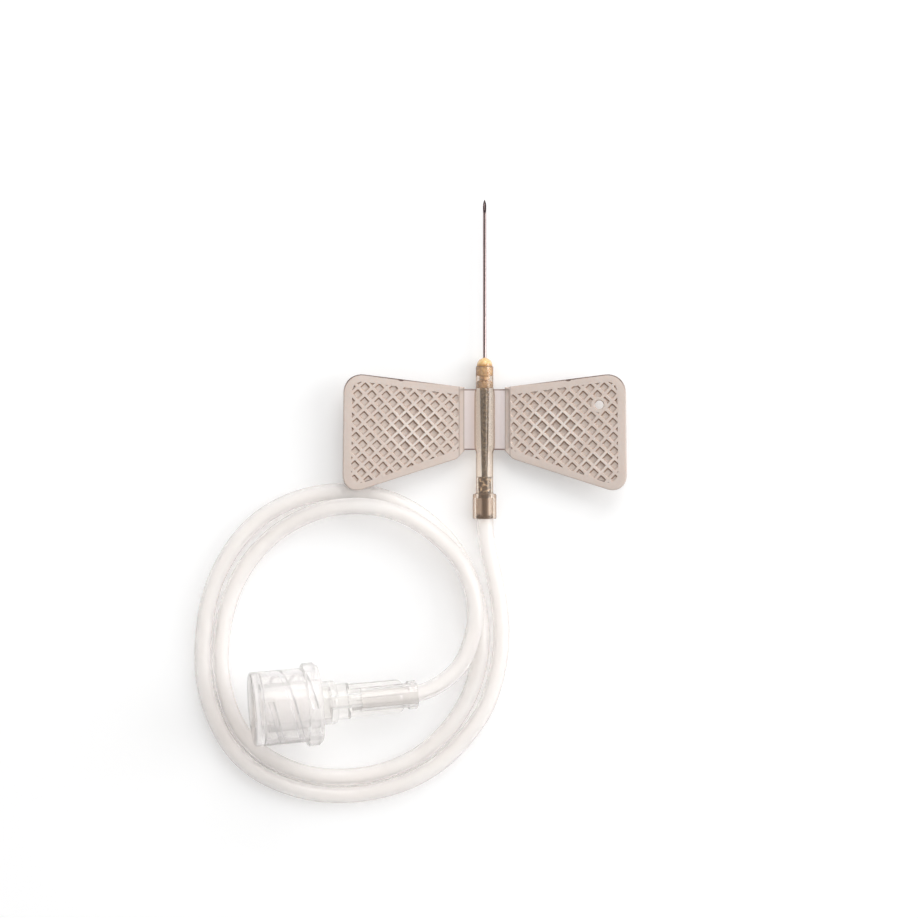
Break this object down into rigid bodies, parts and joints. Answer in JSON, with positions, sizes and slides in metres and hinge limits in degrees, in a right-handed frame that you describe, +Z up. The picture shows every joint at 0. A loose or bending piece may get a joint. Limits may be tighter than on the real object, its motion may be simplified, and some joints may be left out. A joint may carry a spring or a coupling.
{
  "type": "winged infusion set",
  "caption": "Winged infusion needle set: fine lancet needle, folding finger wings, coiled soft tube and a ribbed luer connector with a screw cap.",
  "frame": {"origin": "midway between the needle's tip and the back of the hub, on the surface below the hub's axis", "axes": "+Y along the needle towards its tip, +X towards the wing with the hole, +Z up from the surface that the set lies on"},
  "size_m": [0.0519, 0.0726, 0.0105],
  "materials": {
    "needle_steel": "ground steel tube, bright",
    "amber_glue": "clear amber glue, glossy",
    "smoke_plastic": "smoke-brown translucent moulding, satin",
    "clear_tube": "clear soft tubing, slightly milky",
    "clear_plastic": "clear hard plastic, glossy",
    "frosted_plastic": "clear hard plastic, slightly frosted"
  },
  "bodies": {
    "root": {"hub": "smoke_plastic", "needle": "needle_steel", "needle_glue": "amber_glue", "tube": "clear_tube", "luer_connector": "clear_plastic"},
    "right_wing": {"right_wing": "smoke_plastic"},
    "left_wing": {"left_wing": "smoke_plastic"},
    "cap": {"luer_cap": "frosted_plastic"}
  },
  "joints": [
    {"name": "right_wing_fold", "type": "hinge", "parent": "root", "child": "right_wing", "pos_m": [0.00185, -0.00725, 0.00143], "axis": [0, -1, 0], "range_deg": [-9, 88], "stiffness_Nm_per_rad": 0.002},
    {"name": "left_wing_fold", "type": "hinge", "parent": "root", "child": "left_wing", "pos_m": [-0.00185, -0.00725, 0.00143], "axis": [0, 1, 0], "range_deg": [-1.5, 88], "stiffness_Nm_per_rad": 0.002},
    {"name": "cap_draw_off", "type": "slide", "parent": "root", "child": "cap", "axis": [-0.983, -0.0808, 0.165], "range_m": [0, 0.007]}
  ]
}
